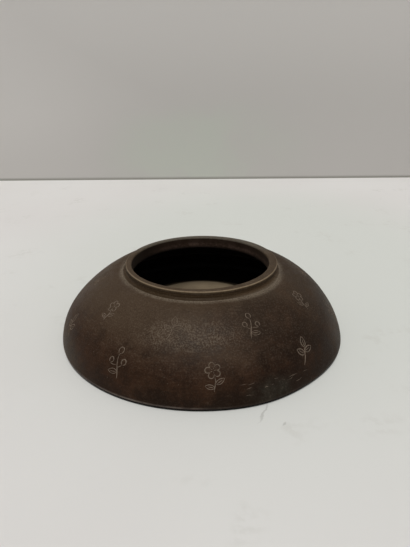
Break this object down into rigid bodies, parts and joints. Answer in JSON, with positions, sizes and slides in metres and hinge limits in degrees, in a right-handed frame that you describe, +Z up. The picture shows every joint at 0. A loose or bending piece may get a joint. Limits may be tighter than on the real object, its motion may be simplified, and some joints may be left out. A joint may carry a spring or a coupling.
{
  "type": "desk water pot",
  "caption": "Low domed stoneware water pot for a writing desk, open at the top through a short neck with a flat lip; it stands on a flat ring round its hollowed base.",
  "frame": {"origin": "centre of the standing plane, under the middle of the pot", "axes": "+Z up along the pot's axis of revolution, -Y towards the side that the picture shows, +X to the viewer's right"},
  "size_m": [0.11, 0.11, 0.028],
  "materials": {
    "clay_body": "unglazed dark brown stoneware, rubbed satin",
    "clay_worn": "the same clay, worn paler and smoother on the edges",
    "clay_raw": "the same clay inside the pot, matt and unrubbed"
  },
  "bodies": {
    "root": {"base_slab": "clay_body", "body_wall": "clay_body", "domed_top_slab": "clay_body", "neck_ring": "clay_body", "lip_thread": "clay_worn", "neck_line": "clay_worn", "floor_corner_roll": "clay_raw", "seam_roll": "clay_raw"}
  },
  "joints": []
}
